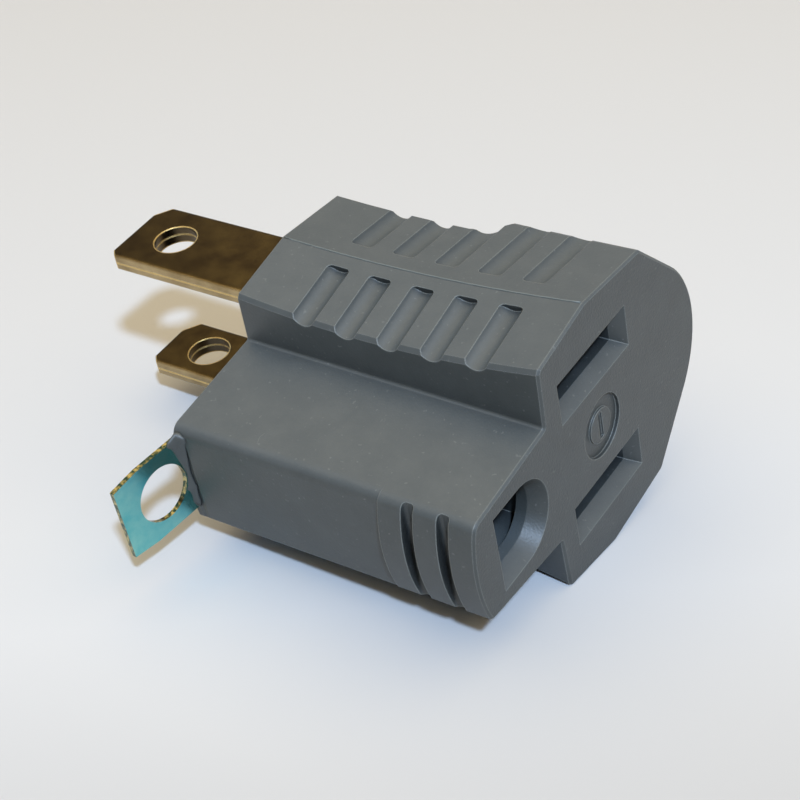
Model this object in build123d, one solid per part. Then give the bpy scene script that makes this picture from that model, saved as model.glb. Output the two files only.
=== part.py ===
from build123d import *
import os
from math import cos, radians, sin, tan

# Grounding plug adapter: three-slot socket face to two flat blades and a ground tab.
# All sizes are millimetres. The pieces are drawn with the socket face on x = 0, the
# blades pointing to -x, the two line contacts one above the other along z and the
# ground side on -y. At the end all of them are laid down as the adapter rests.

# Main body, a block whose broad sides are roofs that sag along their length. The far
# side is towards the lobe, and the near side is towards the ground socket.
body_length = 28.7
ridge_height_front = 12.5
ridge_height_middle = 11.25
ridge_height_back = 11.35
near_fall_ends = 0.175
near_fall_middle = 0.224
far_fall = 0.115
near_y_front = -7.54
near_y_back = -7.2
far_y = 8.15
side_lean = 0.035
side_edge_bevel = 0.3

# Lobe of the socket face on the far side, with sloping flanks and a round nose
lobe_length = 11.5
lobe_corner_y = 8.45
lobe_slope_angle = 46.2
nose_y = 15.95
lobe_root_radius = 5.0
corner_edge_bevel = 0.2
rim_bevel = 0.2

# How far a cutting or trimming body reaches past what it cuts, and how near to the roof an
# edge has to lie to be one of its rims
overcut = 2.0
roof_fit = 0.05

# Ground side of the body, a lower block beside the main one
wing_y = -17.6
wing_fall = 0.1
wing_half_height_front = 4.9
wing_half_height_back = 4.65
wing_drop_front = 4.85
wing_drop_back = 5.2
wing_bulge = 0.2
wing_upper_radius = 1.1
wing_lower_radius = 0.45
wing_back_radius = 0.3
scoop_from_back = 0.75
scoop_radius = 0.6
scoop_depth = 0.2
wing_overlap = 3.0
wing_joint_radius = 0.25

# Finger pad near the front of the ground side: three bands with two grooves between
pad_length = 8.6
pad_rise = 0.85
pad_groove_width = 1.05
pad_groove_floor_y = -17.25
pad_groove_floor_radius = 0.35
pad_groove_places = [-5.95, -2.8]

# Finger grooves across the four roof slopes
groove_count = 5
groove_back_margin = 6.6
groove_front_margin = 5.6
groove_width = 2.2
groove_depth = 0.65
groove_end_radius = 0.45
groove_start_near = 1.3
groove_start_far = 1.8

# Socket openings for the two flat blades of a plug
line_spacing = 12.7
slot_centre_y = 0.2
slot_width = 10.5
slot_height = 3.95
slot_lead_depth = 1.2
slot_throat_width = 8.8
slot_throat_height = 2.4
slot_throat_length = 1.0

# Socket opening for the ground pin, round towards the slots and flat outside
ground_centre_y = -11.95
ground_radius = 3.7
ground_flat_offset = 3.45
ground_throat_radius = 3.0
ground_throat_flat_offset = 3.05
ground_lead_depth = 1.5
ground_throat_length = 1.0

# Round date mark, sunk between the slots, with a plain pointer
dial_y = 0.3
dial_radius = 2.75
dial_depth = 0.35
dial_hub_radius = 1.55
dial_hub_rise = 0.2
pointer_width = 0.6
pointer_length = 2.5

# Line contacts: a brass strip folded double for the blade, parted inside for the socket
leaf_thickness = 0.79
fold_gap = 0.05
blade_length = 18.3
blade_centre_y = 0.65
neutral_blade_width = 7.92
hot_blade_width = 6.35
blade_edge_radius = 0.3
blade_hole_radius = 1.95
blade_hole_from_tip = 4.65
fold_seam_from_tip = 0.8
far_tip_cut_length = 1.4
far_tip_cut_width = 1.9
near_tip_cut_length = 0.7
near_tip_cut_width = 0.8
blade_root_depth = 7.5
spring_swell_run = 2.7
spring_swell = 1.0
spring_pinch_x = -8.0
spring_pinch = 0.55
spring_mouth_x = -4.2
spring_mouth = 1.1
contact_clearance = 0.3

# Ground contact: one stamping, a spring clip inside and the screw tab outside
ground_sheet = 0.45
strap_y = -16.45
strap_width = 6.0
clip_gap = 4.9
clip_back_x = -17.0
clip_fold_length = 4.0
clip_reach = 8.0
clip_pinch_x = -8.5
clip_pinch_gap = 4.55
clip_mouth_x = -4.8
clip_mouth_gap = 5.3
tab_bend_from_back = 0.45
tab_angle = 6.3
tab_length = 8.0
tab_root_width = 7.6
tab_end_width = 6.9
tab_taper_length = 2.6
tab_hole_radius = 2.5
tab_hole_from_end = 4.4
tab_bend_radius = 0.4
tab_seat_clearance = 0.1

line_z = line_spacing / 2
blade_thickness = 2 * leaf_thickness + fold_gap
tip_x = -body_length - blade_length
hole_x = tip_x + blade_hole_from_tip
blade_root_x = -body_length + blade_root_depth
tab_bend_x = -body_length + tab_bend_from_back


def upright(x):
    """The plane across the adapter at x, with y to its right and z up."""
    return Plane.YZ.offset(x)


def roof_height(x, y):
    """Height of the roof at a place, with the sag as a flat arc along the length."""
    fall_ends, fall_middle = (near_fall_ends, near_fall_middle) if y < 0 else (far_fall, far_fall)
    front = ridge_height_front - fall_ends * abs(y)
    middle = ridge_height_middle - fall_middle * abs(y)
    back = ridge_height_back - fall_ends * abs(y)
    share = -x / body_length
    sag = (front + back) / 2 - middle
    return front + (back - front) * share - 4 * sag * share * (1 - share)


def roof_outline(y):
    """The main body seen along y, at one distance from the ridge."""
    front, middle, back = [(x, roof_height(x, y)) for x in (0, -body_length / 2, -body_length)]
    with BuildSketch(Plane.XZ.offset(-y)) as outline:
        with BuildLine():
            ThreePointArc(front, middle, back)
            Line(back, (back[0], -back[1]))
            ThreePointArc((back[0], -back[1]), (middle[0], -middle[1]), (front[0], -front[1]))
            Line((front[0], -front[1]), front)
        make_face()
    return outline.sketch


def roofs():
    """The space between the two sagging roofs, over the whole width."""
    ridge = roof_outline(0)
    near = loft([roof_outline(near_y_front - overcut), ridge], ruled=True)
    far = loft([ridge, roof_outline(nose_y + overcut)], ruled=True)
    return near + far


def block_section(x, near_y):
    """The main block between its two leaning walls, taller than the roofs."""
    height = ridge_height_front + overcut
    lean = side_lean * height
    with BuildSketch(upright(x)) as section:
        Polygon((near_y, 0), (near_y + lean, height), (far_y - lean, height),
                (far_y, 0), (far_y - lean, -height), (near_y + lean, -height), align=None)
    return section.sketch


def lobe():
    """The lobe: sloping flanks tangent to a round nose, swept into the block at its back."""
    height = ridge_height_front + overcut
    slope = radians(lobe_slope_angle)
    corner_height = roof_height(0, lobe_corner_y)
    reach = lobe_corner_y * sin(slope) + corner_height * cos(slope)
    nose_radius = (reach - nose_y * sin(slope)) / (1 - sin(slope))
    nose_centre = nose_y - nose_radius
    touch = (nose_centre + nose_radius * sin(slope), nose_radius * cos(slope))
    top = (lobe_corner_y - (height - corner_height) / tan(slope), height)
    with BuildSketch(upright(0)) as section:
        with BuildLine():
            Polyline((0, -height), (0, height), top, touch)
            ThreePointArc(touch, (nose_y, 0), (touch[0], -touch[1]))
            Polyline((touch[0], -touch[1]), (top[0], -top[1]), (0, -height))
        make_face()
    inner_y = far_y - side_lean * height
    back_x = -lobe_length
    root_x = back_x - 2 * lobe_root_radius
    with BuildSketch() as plan:
        Polygon((0, 0), (0, nose_y + overcut), (back_x, nose_y + overcut),
                (back_x, inner_y), (root_x, inner_y), (root_x, 0), align=None)
        fillet(plan.vertices().sort_by_distance((back_x, inner_y))[0], lobe_root_radius)
    return extrude(section.sketch, root_x) & extrude(plan.sketch, height, both=True)


def main_block():
    """The block and its lobe between the roofs, with the rims of the roofs bevelled."""
    front = block_section(0, near_y_front)
    back = block_section(-body_length, near_y_back)
    block = (loft([front, back], ruled=True) + lobe()) & roofs()
    block = chamfer(roof_rim(block, lambda y: y < near_y_back / 2), side_edge_bevel)
    return chamfer(roof_rim(block, lambda y: y > far_y / 2), corner_edge_bevel)


def roof_rim(solid, side):
    """The edges along the rims of the two roofs, on the side that a test of y picks."""
    found = []
    for edge in solid.edges():
        middle = edge @ 0.5
        runs_back = abs((edge @ 0).X - (edge @ 1).X) > overcut
        above_roof = abs(middle.Z) - roof_height(middle.X, middle.Y)
        if runs_back and side(middle.Y) and abs(above_roof) < roof_fit:
            found.append(edge)
    return found


def long_edges(solid, test):
    """The edges that run the whole length of a solid and whose middle passes a test."""
    found = [e for e in solid.edges() if abs((e @ 0).X - (e @ 1).X) > body_length / 2]
    return [e for e in found if test(e @ 0.5)]


def between(front, back, x):
    """A size at x that changes evenly from the front of the body to its back."""
    return front + (front - back) * x / body_length


def wing_section(x, bulge):
    """The ground side cut across: falling broad sides and a bulging outer face."""
    rise = between(wing_half_height_front, wing_half_height_back, x)
    drop = between(wing_drop_front, wing_drop_back, x)
    root_y = near_y_front + wing_overlap
    root_rise = wing_fall * (root_y - wing_y)
    with BuildSketch(upright(x)) as section:
        with BuildLine():
            Polyline((wing_y, rise), (root_y, rise + root_rise), (root_y, -drop - root_rise), (wing_y, -drop))
            ThreePointArc((wing_y, -drop), (wing_y - bulge, 0), (wing_y, rise))
        make_face()
    return section.sketch


def rounded_outside(block):
    """A block of the ground side with its two outer edges rounded."""
    lengthwise = [e for e in block.edges() if abs((e @ 0).X - (e @ 1).X) > pad_length / 2]
    outer = [e for e in lengthwise if (e @ 0.5).Y < wing_y + wing_upper_radius]
    lower, upper = sorted(outer, key=lambda e: (e @ 0.5).Z)
    block = fillet(upper, wing_upper_radius)
    lower = min(block.edges(), key=lambda e: (e @ 0.5 - lower @ 0.5).length)
    return fillet(lower, wing_lower_radius)


def ground_side():
    """The lower block that holds the ground socket, with its finger pad."""
    wing = loft([wing_section(0, wing_bulge), wing_section(-body_length, wing_bulge)], ruled=True)
    wing = rounded_outside(wing) & wing_plan()
    pad = loft([wing_section(0, pad_rise), wing_section(-pad_length, pad_rise)], ruled=True)
    side = wing + rounded_outside(pad)
    scoop = Cylinder(scoop_radius, 2 * (wing_drop_back + overcut))
    side -= Pos(scoop_from_back - body_length, wing_y - wing_bulge + scoop_depth - scoop_radius, 0) * scoop
    for place in pad_groove_places:
        groove = Box(pad_groove_width, overcut, 2 * (wing_half_height_front + overcut))
        groove = fillet(groove.edges().filter_by(Axis.Z).group_by(Axis.Y)[-1], pad_groove_floor_radius)
        side -= Pos(place, pad_groove_floor_y - overcut / 2, 0) * groove
    return side


def wing_plan():
    """The ground side seen from above, with its back outer corner rounded."""
    outer_y = wing_y - 2 * wing_bulge
    inner_y = near_y_front + wing_overlap
    with BuildSketch() as plan:
        with Locations((-body_length / 2, (outer_y + inner_y) / 2)):
            Rectangle(body_length, inner_y - outer_y)
        corner = plan.vertices().group_by(Axis.Y)[0].sort_by(Axis.X)[0]
        fillet(corner, wing_back_radius)
    return extrude(plan.sketch, 2 * wing_half_height_front, both=True)


def trough(start, length):
    """A groove's own form, along x from the ridge outwards: round-bottomed, with a square end."""
    half = groove_width / 2
    with BuildSketch(Plane.YZ.offset(start)) as section:
        with BuildLine():
            ThreePointArc((-half, 0), (0, -groove_depth), (half, 0))
            Polyline((half, 0), (half, overcut), (-half, overcut), (-half, 0))
        make_face()
    with BuildSketch() as plan:
        with Locations((start + length / 2, 0)):
            Rectangle(length, groove_width)
        fillet(plan.vertices().group_by(Axis.X)[0], groove_end_radius)
    return extrude(section.sketch, length) & extrude(plan.sketch, overcut, both=True)


def groove_tools():
    """The grooves laid in the four roof slopes, each along the fall of its slope."""
    tools = []
    pitch = (body_length - groove_back_margin - groove_front_margin) / (groove_count - 1)
    for start, side in ((groove_start_near, -1), (groove_start_far, 1)):
        length = nose_y - start
        tool = trough(start, length)
        for number in range(groove_count):
            x = groove_back_margin - body_length + number * pitch
            half = groove_width / 2
            ridge = roof_height(x, 0)
            across = Vector(0, side, roof_height(x, side) - ridge)
            along = Vector(groove_width, 0, roof_height(x + half, 0) - roof_height(x - half, 0))
            slope = Plane(origin=(x, 0, ridge), x_dir=across, z_dir=along.cross(across) * side)
            upper = slope.from_local_coords(tool)
            tools.append(upper)
            tools.append(mirror(upper, Plane.XY))
    return tools


def slot_tool(centre_z):
    """Blade opening: lead-in, throat, and the chamber that holds the contact."""
    mouth = rectangle_at(0, centre_z, slot_width, slot_height)
    throat = rectangle_at(-slot_lead_depth, centre_z, slot_throat_width, slot_throat_height)
    lead = loft([mouth, throat], ruled=True)
    neck = extrude(throat, -slot_throat_length)
    return lead + neck


def rectangle_at(x, centre_z, width, height):
    with BuildSketch(upright(x)) as outline:
        with Locations((slot_centre_y, centre_z)):
            Rectangle(width, height)
    return outline.sketch


def contact_chamber(centre_z, blade_width):
    front_x = -slot_lead_depth - slot_throat_length
    back_x = blade_root_x
    half_height = max(spring_swell, spring_mouth) + leaf_thickness + fold_gap / 2 + contact_clearance
    width = max(blade_width, slot_throat_width - 2 * contact_clearance) + 2 * contact_clearance
    centre_y = (slot_centre_y + blade_centre_y) / 2
    width += abs(slot_centre_y - blade_centre_y)
    chamber = Box(front_x - back_x, width, 2 * half_height)
    return Pos((front_x + back_x) / 2, centre_y, centre_z) * chamber


def d_outline(x, radius, flat_offset):
    """Half round towards the slots, squared off towards the outside."""
    with BuildSketch(upright(x)) as outline:
        with BuildLine():
            Polyline((ground_centre_y, radius), (ground_centre_y - flat_offset, radius),
                     (ground_centre_y - flat_offset, -radius), (ground_centre_y, -radius))
            ThreePointArc((ground_centre_y, -radius), (ground_centre_y + radius, 0),
                          (ground_centre_y, radius))
        make_face()
    return outline.sketch


def ground_tool():
    """Ground opening: lead-in, throat, and the chamber that holds the spring clip."""
    mouth = d_outline(0, ground_radius, ground_flat_offset)
    throat = d_outline(-ground_lead_depth, ground_throat_radius, ground_throat_flat_offset)
    tool = loft([mouth, throat], ruled=True) + extrude(throat, -ground_throat_length)
    front_x = -ground_lead_depth - ground_throat_length
    half_height = clip_mouth_gap / 2 + ground_sheet + contact_clearance
    inner_y = strap_y + clip_reach + contact_clearance
    outer_y = strap_y - ground_sheet
    chamber = Box(front_x - clip_back_x, inner_y - outer_y, 2 * half_height)
    return tool + Pos((front_x + clip_back_x) / 2, (inner_y + outer_y) / 2, 0) * chamber


def dial_tool():
    """Sunk ring with a low hub in it and a pointer across the hub."""
    with BuildSketch(upright(0)) as ring:
        with Locations((dial_y, 0)):
            Circle(dial_radius)
    with BuildSketch(upright(-dial_depth)) as hub:
        with Locations((dial_y, 0)):
            Circle(dial_hub_radius)
            Rectangle(pointer_width, pointer_length, mode=Mode.SUBTRACT)
    return extrude(ring.sketch, -dial_depth) - extrude(hub.sketch, dial_hub_rise)


def line_contact(centre_z, width):
    """A strip folded double at the blade's tip, holed, and parted into two springs."""
    root_x = blade_root_x
    length = root_x - tip_x
    blade = Box(length, width, blade_thickness)
    blade = Pos(tip_x + length / 2, blade_centre_y, 0) * blade
    edges = blade.edges().filter_by(Axis.X) + blade.edges().filter_by(Axis.Y).group_by(Axis.X)[0]
    blade = fillet(edges, blade_edge_radius)
    far_y = blade_centre_y + width / 2
    near_y = blade_centre_y - width / 2
    blade -= tip_cut(far_y, -far_tip_cut_width, far_tip_cut_length)
    blade -= tip_cut(near_y, near_tip_cut_width, near_tip_cut_length)
    blade -= Pos(hole_x, blade_centre_y, 0) * Cylinder(blade_hole_radius, 2 * blade_thickness)
    seam_x = tip_x + fold_seam_from_tip
    seam = Box(root_x - seam_x, 2 * width, fold_gap)
    blade -= Pos((root_x + seam_x) / 2, blade_centre_y, 0) * seam
    half_gap = fold_gap / 2
    path = [(root_x - leaf_thickness, half_gap), (root_x, half_gap),
            (root_x + spring_swell_run, spring_swell),
            (spring_pinch_x, spring_pinch), (spring_mouth_x, spring_mouth)]
    leaf = extrude(strip_profile(path, leaf_thickness, Plane.XZ), width / 2, both=True)
    leaf = Pos(0, blade_centre_y, 0) * leaf
    contact = blade + leaf + mirror(leaf, Plane.XY)
    return Pos(0, 0, centre_z) * contact


def tip_cut(edge_y, width, length):
    """The wedge that takes off a corner of the blade's tip."""
    with BuildSketch() as corner:
        Polygon((tip_x, edge_y), (tip_x + length, edge_y), (tip_x, edge_y + width), align=None)
    return extrude(corner.sketch, blade_thickness, both=True)


def strip_profile(path, thickness, plane):
    """A bent strip seen on edge: the path is one face, the other lies beyond it."""
    points = [Vector(*p) for p in path]
    headings = [(b - a).normalized() for a, b in zip(points, points[1:])]
    outer = []
    for number, point in enumerate(points):
        before = headings[max(number - 1, 0)]
        after = headings[min(number, len(headings) - 1)]
        middle = (before + after).normalized()
        side = Vector(-middle.Y, middle.X)
        outer.append(point + side * (thickness / (side.dot(Vector(-after.Y, after.X)))))
    ring = points + outer[::-1]
    with BuildSketch(plane) as profile:
        Polygon(*[(p.X, p.Y) for p in ring], align=None)
    return profile.sketch


def ground_contact():
    """The spring clip, its strap through the body, and the tab bent out at the back."""
    back_x = clip_back_x
    fold_x = clip_back_x + clip_fold_length
    half = clip_gap / 2
    outside = half + ground_sheet
    reach_y = strap_y + clip_reach
    with BuildSketch(upright(back_x)) as channel:
        Polygon((strap_y - ground_sheet, outside), (reach_y, outside), (reach_y, half), (strap_y, half),
                (strap_y, -half), (reach_y, -half), (reach_y, -outside), (strap_y - ground_sheet, -outside),
                align=None)
    clip = extrude(channel.sketch, fold_x - back_x)
    path = [(fold_x - ground_sheet, half), (fold_x, half), (clip_pinch_x, clip_pinch_gap / 2),
            (clip_mouth_x, clip_mouth_gap / 2)]
    leaf = extrude(strip_profile(path, ground_sheet, Plane.XZ), -clip_reach + 2 * ground_sheet)
    leaf = Pos(0, strap_y + 2 * ground_sheet, 0) * leaf
    clip += leaf
    clip += mirror(leaf, Plane.XY)
    return clip + strap_and_tab()


def tab_plane():
    """The tab's front face: origin at the bend, x along the tab towards its end."""
    slope = radians(tab_angle)
    return Plane(origin=(tab_bend_x, strap_y - ground_sheet, 0),
                 x_dir=(-sin(slope), -cos(slope), 0), z_dir=(cos(slope), -sin(slope), 0))


def on_tab(along, behind):
    """A point of the tab seen along z, from its distance along the tab and behind its face."""
    place = tab_plane().from_local_coords(Vector(along, 0, -behind))
    return (place.X, place.Y)


def strap_and_tab():
    """The strap and the tab bent out from it, cut to their outlines."""
    root = on_tab(0, 0)
    heel = on_tab(-ground_sheet * tan(radians(90 - tab_angle) / 2), ground_sheet)
    with BuildSketch() as side:
        with BuildLine():
            Polyline((clip_back_x, strap_y), heel, on_tab(tab_length, ground_sheet),
                     on_tab(tab_length, 0), root, (clip_back_x, root[1]), close=True)
        make_face()
        fillet(side.vertices().sort_by_distance(root)[0], tab_bend_radius)
        fillet(side.vertices().sort_by_distance(heel)[0], tab_bend_radius + ground_sheet)
    sheet = extrude(side.sketch, tab_root_width / 2, both=True)
    return sheet & (strap_outline() + tab_outline())


def tab_seat():
    """The room cut into the back of the ground side, where the tab lies."""
    end = on_tab(tab_length, 0)
    beyond = -body_length - ground_sheet
    with BuildSketch() as side:
        Polygon(on_tab(0, 0), end, (beyond, end[1]), (beyond, strap_y), (tab_bend_x, strap_y), align=None)
    return extrude(side.sketch, tab_root_width / 2 + tab_seat_clearance, both=True)


def strap_outline():
    """The strap from the side: narrow at the clip, full width where it leaves the body."""
    half_clip = strap_width / 2
    half_tab = tab_root_width / 2
    neck_x = (clip_back_x + tab_bend_x) / 2
    wide_x = neck_x - half_tab + half_clip
    end_x = tab_bend_x - 2 * ground_sheet
    with BuildSketch(Plane.XZ.offset(-strap_y)) as outline:
        Polygon((clip_back_x, half_clip), (neck_x, half_clip), (wide_x, half_tab), (end_x, half_tab),
                (end_x, -half_tab), (wide_x, -half_tab), (neck_x, -half_clip), (clip_back_x, -half_clip),
                align=None)
    return extrude(outline.sketch, 2 * ground_sheet + tab_bend_radius, both=True)


def tab_outline():
    """The tab from behind: parallel at the root, tapered to a square end, with its screw hole."""
    half_root = tab_root_width / 2
    half_end = tab_end_width / 2
    taper_start = tab_length - tab_taper_length
    with BuildSketch(tab_plane()) as outline:
        Polygon((tab_bend_radius, half_root), (taper_start, half_root), (tab_length, half_end),
                (tab_length, -half_end), (taper_start, -half_root), (tab_bend_radius, -half_root),
                align=None)
        with Locations((tab_length - tab_hole_from_end, 0)):
            Circle(tab_hole_radius, mode=Mode.SUBTRACT)
    return extrude(outline.sketch, overcut, both=True)


def outer_form():
    """The whole outside of the moulding, before anything is cut into it."""
    form = main_block() + ground_side()
    joint_height = wing_half_height_front + wing_fall * (near_y_front - wing_y)
    highest = (joint_height + roof_height(0, near_y_front)) / 2
    wall = long_edges(form, lambda p: near_y_front < p.Y < near_y_front / 2)
    joint = [e for e in wall if wing_half_height_back < abs((e @ 0.5).Z) < highest]
    form = fillet(joint, wing_joint_radius)
    rim = form.faces().sort_by(Axis.X)[-1].outer_wire().edges()
    return chamfer(rim, rim_bevel)


def moulded_body(metal):
    """The vinyl moulding, closed round the contacts."""
    moulding = outer_form()
    moulding -= groove_tools()
    for centre_z, width in ((line_z, neutral_blade_width), (-line_z, hot_blade_width)):
        moulding -= slot_tool(centre_z)
        moulding -= contact_chamber(centre_z, width)
    moulding -= ground_tool()
    moulding -= dial_tool()
    moulding -= tab_seat()
    for piece in metal:
        moulding -= piece
    return moulding


def resting_plane():
    """The floor under the two ends of the lower roof on the ground side, x along the ridge."""
    front = Vector(-rim_bevel, 0, -roof_height(-rim_bevel, 0))
    back = Vector(-body_length, 0, -ridge_height_back)
    along = front - back
    across = Vector(0, 1, -near_fall_ends)
    return Plane(origin=front, x_dir=along, z_dir=along.cross(across))


neutral = line_contact(line_z, neutral_blade_width)
hot = line_contact(-line_z, hot_blade_width)
ground = ground_contact()
pieces = {
    "body": moulded_body([neutral, hot, ground]),
    "neutral_contact": neutral,
    "hot_contact": hot,
    "ground_contact": ground,
}

# Laid down on that slope, with the origin on the floor under the middle of the adapter
floor = resting_plane()
lying = {name: floor.to_local_coords(piece) for name, piece in pieces.items()}
extent = Compound(list(lying.values())).bounding_box()
to_origin = Pos(-extent.center().X, -extent.center().Y, -extent.min.Z)
os.makedirs("parts", exist_ok=True)
for name, piece in lying.items():
    export_step(to_origin * piece, f"parts/{name}.step")
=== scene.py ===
from math import radians, sin

import bmesh
import bpy
from mathutils import Euler, Matrix, Vector


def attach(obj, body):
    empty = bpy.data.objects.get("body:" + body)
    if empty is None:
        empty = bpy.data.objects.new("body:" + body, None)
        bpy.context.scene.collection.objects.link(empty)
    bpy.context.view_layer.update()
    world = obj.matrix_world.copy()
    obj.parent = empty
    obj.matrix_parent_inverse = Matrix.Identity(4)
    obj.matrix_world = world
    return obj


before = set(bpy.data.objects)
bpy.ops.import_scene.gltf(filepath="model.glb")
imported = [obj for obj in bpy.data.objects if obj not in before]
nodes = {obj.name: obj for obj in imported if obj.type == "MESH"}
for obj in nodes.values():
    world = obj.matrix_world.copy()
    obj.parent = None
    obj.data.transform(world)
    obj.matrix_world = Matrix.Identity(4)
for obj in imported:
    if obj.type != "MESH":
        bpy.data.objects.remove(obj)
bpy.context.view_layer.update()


# The moulding: soft grey vinyl, injected round the metal in one shot. The mould was
# lightly grained, so the skin is satin with a fine uneven bloom and no gloss. What faces
# up is painted paler as a painted sheen, the hollows carry painted shade, and the edges
# are rubbed light under a painted highlight.
def to_linear(code):
    """An sRGB hex colour as the linear colour that the shaders take."""
    shares = [int(code[at:at + 2], 16) / 255 for at in (1, 3, 5)]
    linear = [s / 12.92 if s <= 0.04045 else ((s + 0.055) / 1.055) ** 2.4 for s in shares]
    return (*linear, 1.0)


def new_material(name):
    """A material with its principled shader, ready for more nodes."""
    material = bpy.data.materials.new(name)
    material.use_nodes = True
    return material, material.node_tree.nodes["Principled BSDF"]


def add_node(material, kind, settings=None, links=None, values=None):
    """One node: its properties, the outputs that feed its sockets, and its plain values."""
    tree = material.node_tree
    node = tree.nodes.new(kind)
    for name, value in (settings or {}).items():
        setattr(node, name, value)
    for socket, value in (values or {}).items():
        node.inputs[socket].default_value = value
    for socket, source in (links or {}).items():
        tree.links.new(source, node.inputs[socket])
    return node


def feed(material, socket, source):
    """The principled shader's socket, fed by another node."""
    material.node_tree.links.new(source, material.node_tree.nodes["Principled BSDF"].inputs[socket])


def dress(piece, material):
    """The material alone in the piece's first slot."""
    piece.data.materials.clear()
    piece.data.materials.append(material)


MM = 0.001
vinyl, vinyl_shader = new_material("moulded_grey_vinyl")
bloom_size = 3.0 * MM
grain_size = 0.2 * MM
grain_depth = 0.05 * MM
speck_size = 0.36 * MM
rubbed_highlight_width = 0.16 * MM
hollow_reach = 5.0 * MM
out_of_socket_face = Vector((0.99922, -0.00678, 0.03879))

on_vinyl = add_node(vinyl, "ShaderNodeTexCoord").outputs
bloom = add_node(vinyl, "ShaderNodeTexNoise", None, {"Vector": on_vinyl["Object"]},
                 {"Scale": 1 / bloom_size, "Detail": 5.0, "Roughness": 0.7})
bloom_share = add_node(vinyl, "ShaderNodeMapRange", None, {"Value": bloom.outputs["Fac"]},
                       {"From Min": 0.35, "From Max": 0.65})
# The side grey and the paler grey are one vinyl, shaded and lit: painted shade and painted sheen.
side_grey = add_node(vinyl, "ShaderNodeMix", {"data_type": "RGBA"},
                     {"Factor": bloom_share.outputs["Result"]},
                     {"A": to_linear("#3B3F3E"), "B": to_linear("#414544")})
painted_sheen_grey = add_node(vinyl, "ShaderNodeMix", {"data_type": "RGBA"},
                     {"Factor": bloom_share.outputs["Result"]},
                     {"A": to_linear("#4F5659"), "B": to_linear("#565C5E")})

# How far a face looks up, and how open it lies, say how much of the painted sheen it
# has. A face deep in a slot or under the wall is painted nearly black, as painted shade.
upward = add_node(vinyl, "ShaderNodeSeparateXYZ", None, {"Vector": on_vinyl["Normal"]}).outputs["Z"]
facing_up = add_node(vinyl, "ShaderNodeMapRange", None, {"Value": upward},
                     {"From Min": 0.3, "From Max": 0.85})
openness = add_node(vinyl, "ShaderNodeAmbientOcclusion", {"samples": 6}, None,
                    {"Distance": hollow_reach}).outputs["AO"]
well_open = add_node(vinyl, "ShaderNodeMapRange", None, {"Value": openness},
                     {"From Min": 0.34, "From Max": 0.76})
painted_sheen_share = add_node(vinyl, "ShaderNodeMath", {"operation": "MULTIPLY"},
                      {0: facing_up.outputs["Result"], 1: well_open.outputs["Result"]})
skin_grey = add_node(vinyl, "ShaderNodeMix", {"data_type": "RGBA"},
                     {"Factor": painted_sheen_share.outputs["Value"],
                      "A": side_grey.outputs["Result"], "B": painted_sheen_grey.outputs["Result"]})
# Deep hollows are painted nearly black here: painted shade.
out_of_hollow = add_node(vinyl, "ShaderNodeMapRange", None, {"Value": openness},
                         {"From Min": 0.22, "From Max": 0.6})
shaded_grey = add_node(vinyl, "ShaderNodeMix", {"data_type": "RGBA"},
                       {"Factor": out_of_hollow.outputs["Result"], "B": skin_grey.outputs["Result"]},
                       {"A": to_linear("#15181A")})

# Pale specks of dust, drawn coarser than real dust so that they show.
specks = add_node(vinyl, "ShaderNodeTexNoise", None, {"Vector": on_vinyl["Object"]},
                  {"Scale": 1 / speck_size, "Detail": 1.0, "Roughness": 0.5})
speck_share = add_node(vinyl, "ShaderNodeMapRange", None, {"Value": specks.outputs["Fac"]},
                       {"From Min": 0.7, "From Max": 0.78})
dusted_grey = add_node(vinyl, "ShaderNodeMix", {"data_type": "RGBA", "blend_type": "ADD"},
                       {"Factor": speck_share.outputs["Result"], "A": shaded_grey.outputs["Result"]},
                       {"B": to_linear("#3E3E3C")})

# The bevel's normal leaves the true one only near an edge, which is where the skin is
# rubbed and carries a painted highlight.
soft_edges = add_node(vinyl, "ShaderNodeBevel", {"samples": 6}, None, {"Radius": rubbed_highlight_width})
vinyl_normal = add_node(vinyl, "ShaderNodeNewGeometry").outputs["Normal"]
away_from_edge = add_node(vinyl, "ShaderNodeVectorMath", {"operation": "DOT_PRODUCT"},
                          {0: soft_edges.outputs["Normal"], 1: vinyl_normal})
rubbed_highlight_share = add_node(vinyl, "ShaderNodeMapRange", None, {"Value": away_from_edge.outputs["Value"]},
                        {"From Min": 0.99, "From Max": 0.85, "To Min": 0.0, "To Max": 0.8})
worn_and_highlit_grey = add_node(vinyl, "ShaderNodeMix", {"data_type": "RGBA"},
                     {"Factor": rubbed_highlight_share.outputs["Result"], "A": dusted_grey.outputs["Result"]},
                     {"B": to_linear("#8F928D")})

# The mould's grain, drawn coarser than it is so that it shows. It is stronger on the
# socket face than on the sides.
grain = add_node(vinyl, "ShaderNodeTexNoise", None, {"Vector": on_vinyl["Object"]},
                 {"Scale": 1 / grain_size, "Detail": 2.0, "Roughness": 0.55})
on_socket_face = add_node(vinyl, "ShaderNodeVectorMath", {"operation": "DOT_PRODUCT"},
                          {0: on_vinyl["Normal"]}, {1: out_of_socket_face})
coarseness = add_node(vinyl, "ShaderNodeMapRange", None, {"Value": on_socket_face.outputs["Value"]},
                      {"From Min": 0.8, "From Max": 0.95, "To Min": 0.4, "To Max": 1.0})
grained = add_node(vinyl, "ShaderNodeBump", None,
                   {"Height": grain.outputs["Fac"], "Normal": soft_edges.outputs["Normal"],
                    "Strength": coarseness.outputs["Result"]},
                   {"Distance": grain_depth})
feed(vinyl, "Base Color", worn_and_highlit_grey.outputs["Result"])
feed(vinyl, "Normal", grained.outputs["Normal"])
vinyl_shader.inputs["Roughness"].default_value = 0.48
vinyl_shader.inputs["IOR"].default_value = 1.6
dress(nodes["body"], vinyl)
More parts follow.
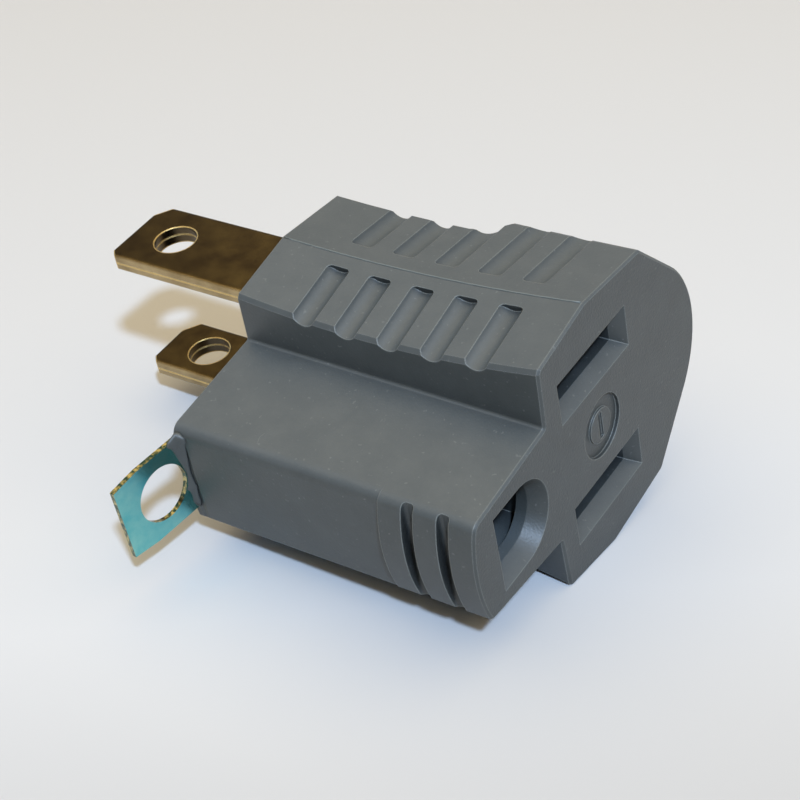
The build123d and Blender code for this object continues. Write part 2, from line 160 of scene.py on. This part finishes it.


# The line contacts: brass strip folded double and punched. The rolled faces have tarnished
# to a dark brown, the sheared edges are paler, and the corners are rubbed and carry a
# painted highlight.
brass, brass_shader = new_material("tarnished_rolled_brass")
tarnish_size = 2.6 * MM
bright_corner_width = 0.22 * MM
wall_reach = 2.13 * MM
rim_reach = 2.18 * MM
out_of_strip = Vector((-0.03938, -0.17212, 0.98429))
neutral_hole = Vector((-19.188, 4.28, 16.965)) * MM
hot_hole = Vector((-18.679, 6.623, 4.493)) * MM

on_brass = add_node(brass, "ShaderNodeTexCoord").outputs
tarnish = add_node(brass, "ShaderNodeTexNoise", None, {"Vector": on_brass["Object"]},
                   {"Scale": 1 / tarnish_size, "Detail": 4.0, "Roughness": 0.6})
face_tarnish = add_node(brass, "ShaderNodeMapRange", None, {"Value": tarnish.outputs["Fac"]},
                        {"From Min": 0.35, "From Max": 0.7})
face_brown = add_node(brass, "ShaderNodeMix", {"data_type": "RGBA"},
                      {"Factor": face_tarnish.outputs["Result"]},
                      {"A": to_linear("#372B16"), "B": to_linear("#54472A")})
edge_tarnish = add_node(brass, "ShaderNodeMapRange", None, {"Value": tarnish.outputs["Fac"]},
                        {"From Min": 0.3, "From Max": 0.7})
edge_tan = add_node(brass, "ShaderNodeMix", {"data_type": "RGBA"},
                    {"Factor": edge_tarnish.outputs["Result"]},
                    {"A": to_linear("#8E7A56"), "B": to_linear("#B7A27A")})

# The walls of the punched holes lie within a small ball round each hole's middle. They
# are painted dark, as painted shade.
off_neutral_hole = add_node(brass, "ShaderNodeVectorMath", {"operation": "DISTANCE"},
                            {0: on_brass["Object"]}, {1: neutral_hole})
off_hot_hole = add_node(brass, "ShaderNodeVectorMath", {"operation": "DISTANCE"},
                        {0: on_brass["Object"]}, {1: hot_hole})
off_hole = add_node(brass, "ShaderNodeMath", {"operation": "MINIMUM"},
                    {0: off_neutral_hole.outputs["Value"], 1: off_hot_hole.outputs["Value"]})
hole_wall_shade = add_node(brass, "ShaderNodeMapRange", None, {"Value": off_hole.outputs["Value"]},
                     {"From Min": rim_reach, "From Max": wall_reach})
cut_brass_and_hole_shade = add_node(brass, "ShaderNodeMix", {"data_type": "RGBA"},
                     {"Factor": hole_wall_shade.outputs["Result"], "A": edge_tan.outputs["Result"]},
                     {"B": to_linear("#5A4E3C")})
across_strip = add_node(brass, "ShaderNodeVectorMath", {"operation": "DOT_PRODUCT"},
                        {0: on_brass["Normal"]}, {1: out_of_strip})
strip_flatness = add_node(brass, "ShaderNodeMath", {"operation": "ABSOLUTE"},
                          {0: across_strip.outputs["Value"]})
on_strip_edge = add_node(brass, "ShaderNodeMapRange", None, {"Value": strip_flatness.outputs["Value"]},
                         {"From Min": 0.97, "From Max": 0.75, "To Min": 0.0, "To Max": 1.0})
strip_colour = add_node(brass, "ShaderNodeMix", {"data_type": "RGBA"},
                        {"Factor": on_strip_edge.outputs["Result"],
                         "A": face_brown.outputs["Result"], "B": cut_brass_and_hole_shade.outputs["Result"]})

# Handling rubs the corners, which carry a painted highlight, and leaves them less of a
# mirror than the faces.
rolled_corners = add_node(brass, "ShaderNodeBevel", {"samples": 6}, None, {"Radius": bright_corner_width})
brass_normal = add_node(brass, "ShaderNodeNewGeometry").outputs["Normal"]
away_from_corner = add_node(brass, "ShaderNodeVectorMath", {"operation": "DOT_PRODUCT"},
                            {0: rolled_corners.outputs["Normal"], 1: brass_normal})
corner_highlight_share = add_node(brass, "ShaderNodeMapRange", None, {"Value": away_from_corner.outputs["Value"]},
                        {"From Min": 0.995, "From Max": 0.93, "To Min": 0.0, "To Max": 1.0})
rubbed_and_highlit_brass = add_node(brass, "ShaderNodeMix", {"data_type": "RGBA"},
                         {"Factor": corner_highlight_share.outputs["Result"], "A": strip_colour.outputs["Result"]},
                         {"B": to_linear("#FFE09A")})
brass_roughness = add_node(brass, "ShaderNodeMapRange", None, {"Value": corner_highlight_share.outputs["Result"]},
                           {"From Min": 0.0, "From Max": 1.0, "To Min": 0.27, "To Max": 0.5})
feed(brass, "Base Color", rubbed_and_highlit_brass.outputs["Result"])
feed(brass, "Normal", rolled_corners.outputs["Normal"])
feed(brass, "Roughness", brass_roughness.outputs["Result"])
brass_shader.inputs["Metallic"].default_value = 1.0
dress(nodes["neutral_contact"], brass)
dress(nodes["hot_contact"], brass)


# The ground contact: a thin bright stamping, dyed green so that it is known for the
# ground. The dye is a clear film over metal, so it mirrors what lies in front of it. The
# clip inside the moulding is painted dark, as painted shade, and the tab's cut edges are
# ragged and part bare.
green, green_shader = new_material("green_dyed_strip")
stain_size = 2.2 * MM
burr_size = 0.35 * MM
tab_side_end = -4.2 * MM
clip_side_start = -3.0 * MM
out_of_tab = Vector((0.99319, -0.11484, 0.01966))

on_green = add_node(green, "ShaderNodeTexCoord").outputs
stain = add_node(green, "ShaderNodeTexNoise", None, {"Vector": on_green["Object"]},
                 {"Scale": 1 / stain_size, "Detail": 3.0, "Roughness": 0.6})
stain_share = add_node(green, "ShaderNodeMapRange", None, {"Value": stain.outputs["Fac"]},
                       {"From Min": 0.35, "From Max": 0.68})
dye_green = add_node(green, "ShaderNodeMix", {"data_type": "RGBA"},
                     {"Factor": stain_share.outputs["Result"]},
                     {"A": to_linear("#6CC0BE"), "B": to_linear("#96D4C8")})
# The part inside the moulding is painted near black: painted shade.
toward_clip = add_node(green, "ShaderNodeSeparateXYZ", None, {"Vector": on_green["Object"]}).outputs["X"]
inside = add_node(green, "ShaderNodeMapRange", None, {"Value": toward_clip},
                  {"From Min": tab_side_end, "From Max": clip_side_start})
green_with_clip_shade = add_node(green, "ShaderNodeMix", {"data_type": "RGBA"},
                       {"Factor": inside.outputs["Result"], "A": dye_green.outputs["Result"]},
                       {"B": to_linear("#141A1A")})
burr = add_node(green, "ShaderNodeTexNoise", None, {"Vector": on_green["Object"]},
                {"Scale": 1 / burr_size, "Detail": 2.0, "Roughness": 0.6})
burr_share = add_node(green, "ShaderNodeMapRange", None, {"Value": burr.outputs["Fac"]},
                      {"From Min": 0.42, "From Max": 0.62})
burr_colour = add_node(green, "ShaderNodeMix", {"data_type": "RGBA"},
                       {"Factor": burr_share.outputs["Result"]},
                       {"A": to_linear("#2E4A44"), "B": to_linear("#B9AE7C")})
across_tab = add_node(green, "ShaderNodeVectorMath", {"operation": "DOT_PRODUCT"},
                      {0: on_green["Normal"]}, {1: out_of_tab})
tab_flatness = add_node(green, "ShaderNodeMath", {"operation": "ABSOLUTE"},
                        {0: across_tab.outputs["Value"]})
on_tab_edge = add_node(green, "ShaderNodeMapRange", None, {"Value": tab_flatness.outputs["Value"]},
                       {"From Min": 0.95, "From Max": 0.6, "To Min": 0.0, "To Max": 1.0})
tab_colour = add_node(green, "ShaderNodeMix", {"data_type": "RGBA"},
                      {"Factor": on_tab_edge.outputs["Result"],
                       "A": green_with_clip_shade.outputs["Result"], "B": burr_colour.outputs["Result"]})
feed(green, "Base Color", tab_colour.outputs["Result"])
green_shader.inputs["Metallic"].default_value = 1.0
green_shader.inputs["Roughness"].default_value = 0.16
dress(nodes["ground_contact"], green)


# The flash: where the halves of the mould met, they left a fine raised bead along the
# ridges of the two roofs, in the same vinyl, rubbed a little lighter. Some vinyl crept
# out over the root of the ground tab, and a short pale scratch lies on the ground side.

# Their points are in the moulding's own frame: x out of the socket face, y away from the
# ground side and z from the hot to the neutral slot. This lays them down as it lies.
lying = Matrix(((0.99922, 0.0, -0.03938),
                (-0.00678, 0.98505, -0.17212),
                (0.03879, 0.17225, 0.98429))).to_4x4()
lying.translation = Vector((23.3749, 4.4746, 12.2851))


def add_strip(name, rings, material):
    """A closed strip of vinyl, extruded from ring to ring of points in the moulding's frame."""
    mesh = bmesh.new()
    start = end = mesh.faces.new([mesh.verts.new(lying @ Vector(point) * MM) for point in rings[0]])
    for ring in rings[1:]:
        grown = bmesh.ops.extrude_face_region(mesh, geom=[end])["geom"]
        if end is not start:
            mesh.faces.remove(end)
        end = next(part for part in grown if isinstance(part, bmesh.types.BMFace))
        for corner, point in zip(end.verts, ring):
            corner.co = lying @ Vector(point) * MM
    bmesh.ops.recalc_face_normals(mesh, faces=mesh.faces)
    for face in mesh.faces:
        face.smooth = True
    data = bpy.data.meshes.new(name)
    mesh.to_mesh(data)
    mesh.free()
    strip = bpy.data.objects.new(name, data)
    bpy.context.scene.collection.objects.link(strip)
    dress(strip, material)
    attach(strip, "root")


def ridge_height(share):
    """Height of the ridge above the middle plane, from the socket face to the back."""
    front, middle, back = 12.5, 11.25, 11.35
    sag = (front + back) / 2 - middle
    return front + (back - front) * share - 4 * sag * share * (1 - share)


flash_vinyl, flash_shader = new_material("rubbed_grey_vinyl")
flash_shader.inputs["Base Color"].default_value = to_linear("#727876")
flash_shader.inputs["Roughness"].default_value = 0.45
body_length = 28.7
bead_half_width = 0.11
bead_root = 0.02
bead_waviness = 0.02
bead_start, bead_run = 0.01, 0.985
bead_steps = 36
for side, rise, name in ((1, 0.09, "upper_ridge_flash"), (-1, 0.04, "lower_ridge_flash")):
    bead_rings = []
    for step in range(bead_steps + 1):
        share = bead_start + bead_run * step / bead_steps
        x, z = -body_length * share, side * (ridge_height(share) - bead_root)
        top = z + side * (rise + bead_waviness * sin(step * 2.3))
        bead_rings.append([(x, -bead_half_width, z), (x, 0.0, top), (x, bead_half_width, z)])
    add_strip(name, bead_rings, flash_vinyl)

# Height along the tab's root, and how far the vinyl reaches out over the tab there.
lip_line = [(4.3, 0.2), (4.0, 1.0), (3.65, 1.25), (3.2, 0.9), (2.6, 0.72), (2.0, 0.6), (1.2, 0.42),
            (0.6, 0.3), (0.0, 0.22), (-0.6, 0.3), (-1.1, 0.42), (-1.4, 0.66), (-1.7, 0.45),
            (-2.3, 0.35), (-3.0, 0.42), (-3.6, 0.2)]
lip_rings = []
for z, reach in lip_line:
    on_tab, on_side = 0.8 + reach, -28.2 + 0.6 * reach
    tab_x, tab_y = -28.27 - 0.1097 * on_tab, -16.9 - 0.994 * on_tab
    lip_rings.append([(-28.45, -17.5, z), (tab_x - 0.03, tab_y, z), (tab_x + 0.12, tab_y + 0.05, z),
                      (-28.22, -17.85 - 0.12 * reach, z), (on_side, -17.8, z), (on_side + 0.05, -17.55, z)])
add_strip("tab_root_flash", lip_rings, vinyl)

scratch_half_width = 0.05
scratch_line = [(-20.84, -15.35, 4.93), (-20.98, -15.85, 4.88),
                (-20.81, -16.35, 4.83), (-20.42, -16.82, 4.74)]
scratch_rings = [[(x - scratch_half_width, y, z - 0.02),
                  (x, y, z + 0.03),
                  (x + scratch_half_width, y, z - 0.02)] for x, y, z in scratch_line]
add_strip("pale_scratch", scratch_rings, flash_vinyl)


# The sheet of matt white paper under the adapter is also the background. A painted shade
# makes it a little darker towards the camera, and far out it is seen as one plain pale tone.
sheet_half_width = 3.0
near_start, near_end = 16 * MM, 44 * MM
plain_start, plain_end = 280 * MM, 800 * MM
toward_camera = (0.62, -0.78, 0.0)

sheet_mesh = bmesh.new()
bmesh.ops.create_grid(sheet_mesh, x_segments=1, y_segments=1, size=sheet_half_width)
floor_data = bpy.data.meshes.new("floor")
sheet_mesh.to_mesh(floor_data)
sheet_mesh.free()
floor = bpy.data.objects.new("floor", floor_data)
bpy.context.scene.collection.objects.link(floor)

sheet, sheet_shader = new_material("pale_sheet")
sheet_shader.inputs["Roughness"].default_value = 0.95
on_sheet = add_node(sheet, "ShaderNodeTexCoord").outputs["Object"]
# Painted shade: the sheet darkens towards the camera.
nearness = add_node(sheet, "ShaderNodeVectorMath", {"operation": "DOT_PRODUCT"},
                    {0: on_sheet}, {1: toward_camera})
near_shade_share = add_node(sheet, "ShaderNodeMapRange", None, {"Value": nearness.outputs["Value"]},
                      {"From Min": near_start, "From Max": near_end})
sheet_white_and_shade = add_node(sheet, "ShaderNodeMix", {"data_type": "RGBA"},
                       {"Factor": near_shade_share.outputs["Result"]},
                       {"A": to_linear("#DDDDDE"), "B": to_linear("#CAC8C6")})
feed(sheet, "Base Color", sheet_white_and_shade.outputs["Result"])
distance = add_node(sheet, "ShaderNodeVectorMath", {"operation": "LENGTH"}, {0: on_sheet})
far_share = add_node(sheet, "ShaderNodeMapRange", {"interpolation_type": "SMOOTHSTEP"},
                     {"Value": distance.outputs["Value"]}, {"From Min": plain_start, "From Max": plain_end})
sheet_rays = add_node(sheet, "ShaderNodeLightPath").outputs
sheet_seen = add_node(sheet, "ShaderNodeMath", {"operation": "MAXIMUM"},
                      {0: sheet_rays["Is Camera Ray"], 1: sheet_rays["Is Glossy Ray"]})
plain_share = add_node(sheet, "ShaderNodeMath", {"operation": "MULTIPLY"},
                       {0: far_share.outputs["Result"], 1: sheet_seen.outputs["Value"]})
plain_tone = add_node(sheet, "ShaderNodeEmission", None, None,
                      {"Color": to_linear("#E0E0E1"), "Strength": 1.0})
whole_sheet = add_node(sheet, "ShaderNodeMixShader", None,
                       {0: plain_share.outputs["Value"], 1: sheet_shader.outputs["BSDF"],
                        2: plain_tone.outputs["Emission"]})
sheet_output = sheet.node_tree.nodes["Material Output"]
sheet.node_tree.links.new(whole_sheet.outputs["Shader"], sheet_output.inputs["Surface"])
dress(floor, sheet)


# The lamps: a small cool one from the camera's side draws the sharp tan shadows, a broad
# warm ceiling lights the tops, and a faint cool window from the left fills the back.
def add_lamp(name, place_mm, size_mm, watts, colour):
    """A square soft box that faces the adapter."""
    lamp = bpy.data.lights.new(name, "AREA")
    lamp.size = size_mm * MM
    lamp.energy = watts
    lamp.color = to_linear(colour)[:3]
    box = bpy.data.objects.new(name, lamp)
    box.location = Vector(place_mm) * MM
    box.rotation_euler = (-box.location).to_track_quat("-Z", "Y").to_euler()
    bpy.context.scene.collection.objects.link(box)


add_lamp("cool_lamp", (342, -342, 506), 42, 4.7, "#C0DCFF")
add_lamp("warm_ceiling", (0, 0, 620), 1400, 7.2, "#FFEAC0")
add_lamp("low_window", (-600, 0, 220), 400, 0.35, "#90C4FF")


# The studio beyond the sheet: it gives hardly any light, and is seen, low down, as a pale
# backdrop in the tone of the sheet.
backdrop_light = 0.03
studio = bpy.data.worlds.new("studio")
studio.use_nodes = True
backdrop = studio.node_tree.nodes["Background"]
backdrop.inputs["Color"].default_value = to_linear("#FFFFFF")
looking = add_node(studio, "ShaderNodeTexCoord").outputs["Generated"]
skyward = add_node(studio, "ShaderNodeSeparateXYZ", None, {"Vector": looking}).outputs["Z"]
low_down = add_node(studio, "ShaderNodeMapRange", {"interpolation_type": "SMOOTHSTEP"},
                    {"Value": skyward},
                    {"From Min": 0.22, "From Max": 0.5, "To Min": 0.72, "To Max": 0.0})
studio_rays = add_node(studio, "ShaderNodeLightPath").outputs
studio_seen = add_node(studio, "ShaderNodeMath", {"operation": "MAXIMUM"},
                       {0: studio_rays["Is Camera Ray"], 1: studio_rays["Is Glossy Ray"]})
backdrop_level = add_node(studio, "ShaderNodeMath", {"operation": "MULTIPLY_ADD"},
                          {0: low_down.outputs["Result"], 1: studio_seen.outputs["Value"]},
                          {2: backdrop_light})
studio.node_tree.links.new(backdrop_level.outputs["Value"], backdrop.inputs["Strength"])
bpy.context.scene.world = studio


# The camera stands where the photograph was taken from, about 15 cm from the adapter,
# and is turned a little on its own axis.
camera_data = bpy.data.cameras.new("camera")
camera_data.sensor_width = 36.0
camera_data.lens = 82.82
camera_data.clip_start = 0.01
camera = bpy.data.objects.new("camera", camera_data)
camera.location = Vector((80.615, -101.981, 93.342)) * MM
camera.rotation_euler = Euler((radians(57.0707), radians(2.2401), radians(34.2583)), "XYZ")
bpy.context.scene.collection.objects.link(camera)
bpy.context.scene.camera = camera
bpy.context.scene.view_settings.view_transform = "Standard"
